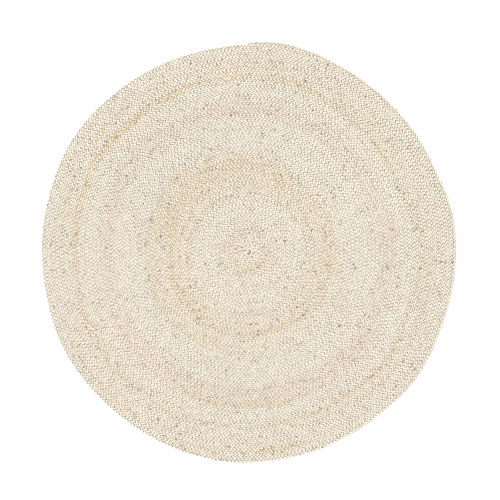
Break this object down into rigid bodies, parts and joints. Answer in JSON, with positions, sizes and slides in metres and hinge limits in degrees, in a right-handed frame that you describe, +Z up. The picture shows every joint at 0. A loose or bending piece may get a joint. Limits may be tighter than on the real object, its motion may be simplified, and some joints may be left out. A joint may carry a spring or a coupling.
{
  "type": "round braided jute rug",
  "caption": "Flat round rug: one long flat jute braid, coiled from the middle outwards and sewn edge to edge, with a slightly uneven rim.",
  "frame": {"origin": "on the floor, under the middle of the outline's box", "axes": "+Z up out of the rug's face, +Y towards the top of the picture, where the braid's outer end lies against the edge"},
  "size_m": [1.7906, 1.8182, 0.01],
  "materials": {
    "jute": "bleached ivory jute yarn, matt and slightly hairy, with golden and tan courses and a few brown flecks"
  },
  "bodies": {
    "root": {"braided_rug": "jute"}
  },
  "joints": []
}
